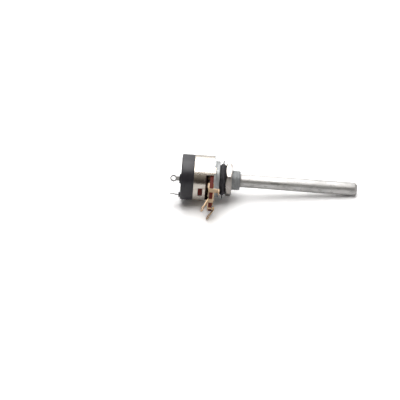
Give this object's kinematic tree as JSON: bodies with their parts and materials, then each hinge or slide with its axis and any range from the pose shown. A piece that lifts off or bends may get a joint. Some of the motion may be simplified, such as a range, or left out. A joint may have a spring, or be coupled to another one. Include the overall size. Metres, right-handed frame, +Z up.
{
  "type": "rotary potentiometer with snap switch",
  "caption": "Rotary potentiometer with a long plain shaft, threaded bushing with nut and washers, clinched can, tongue with wrapped terminals and a rotary snap switch at the back.",
  "frame": {"origin": "on the shaft's axis, in the plane of the mounting seat that bears on the panel", "axes": "+X along the shaft towards its tip, -Y towards the terminal tongue, +Z up across the tongue"},
  "size_m": [0.0851, 0.0327, 0.0215],
  "materials": {
    "shaft_aluminium": "worn satin aluminium",
    "spring_steel": "plain spring steel",
    "plate_zinc": "dull die-cast zinc",
    "washer_black": "matt black fibre",
    "nut_plated": "worn bright plating",
    "wafer_laminate": "red-brown laminated paper",
    "carbon": "matt carbon film",
    "tinned_brass": "dull tin plating",
    "terminal_tinned": "thin tin plating over brass",
    "rotor_moulding": "dark brown moulding",
    "spring_bronze": "spring bronze",
    "can_nickel": "satin nickel on steel",
    "housing_moulding": "half-gloss black moulding"
  },
  "bodies": {
    "potentiometer": {"bushing_plate": "plate_zinc", "rear_washer": "washer_black", "wide_washer": "washer_black", "front_washer": "washer_black", "mounting_nut": "nut_plated", "wafer": "wafer_laminate", "carbon_track": "carbon", "collector_ring": "tinned_brass", "upper_terminal": "terminal_tinned", "middle_terminal": "terminal_tinned", "lower_terminal": "terminal_tinned", "terminal_rivets": "terminal_tinned", "cover_can": "can_nickel", "insulator_plate": "wafer_laminate", "switch_housing": "housing_moulding", "pivot_pin": "spring_steel", "switch_rivets": "tinned_brass", "upper_lug": "tinned_brass", "lower_lug": "tinned_brass", "toggle_spring": "spring_steel"},
    "turning_shaft": {"shaft": "shaft_aluminium", "retaining_ring": "spring_steel", "rotor": "rotor_moulding", "wiper": "spring_bronze"},
    "toggle": {"toggle_lever": "rotor_moulding", "moving_contact": "spring_bronze"}
  },
  "joints": [
    {"name": "shaft_turn", "type": "hinge", "parent": "potentiometer", "child": "turning_shaft", "pos_m": [0, 0, 0], "axis": [-1, 0, 0], "range_deg": [0, 300]},
    {"name": "toggle_snap", "type": "hinge", "parent": "potentiometer", "child": "toggle", "pos_m": [-0.012, 0.00708, 0.00177], "axis": [1, 0, 0], "range_deg": [0, 36], "deforming": ["toggle_spring"]}
  ]
}
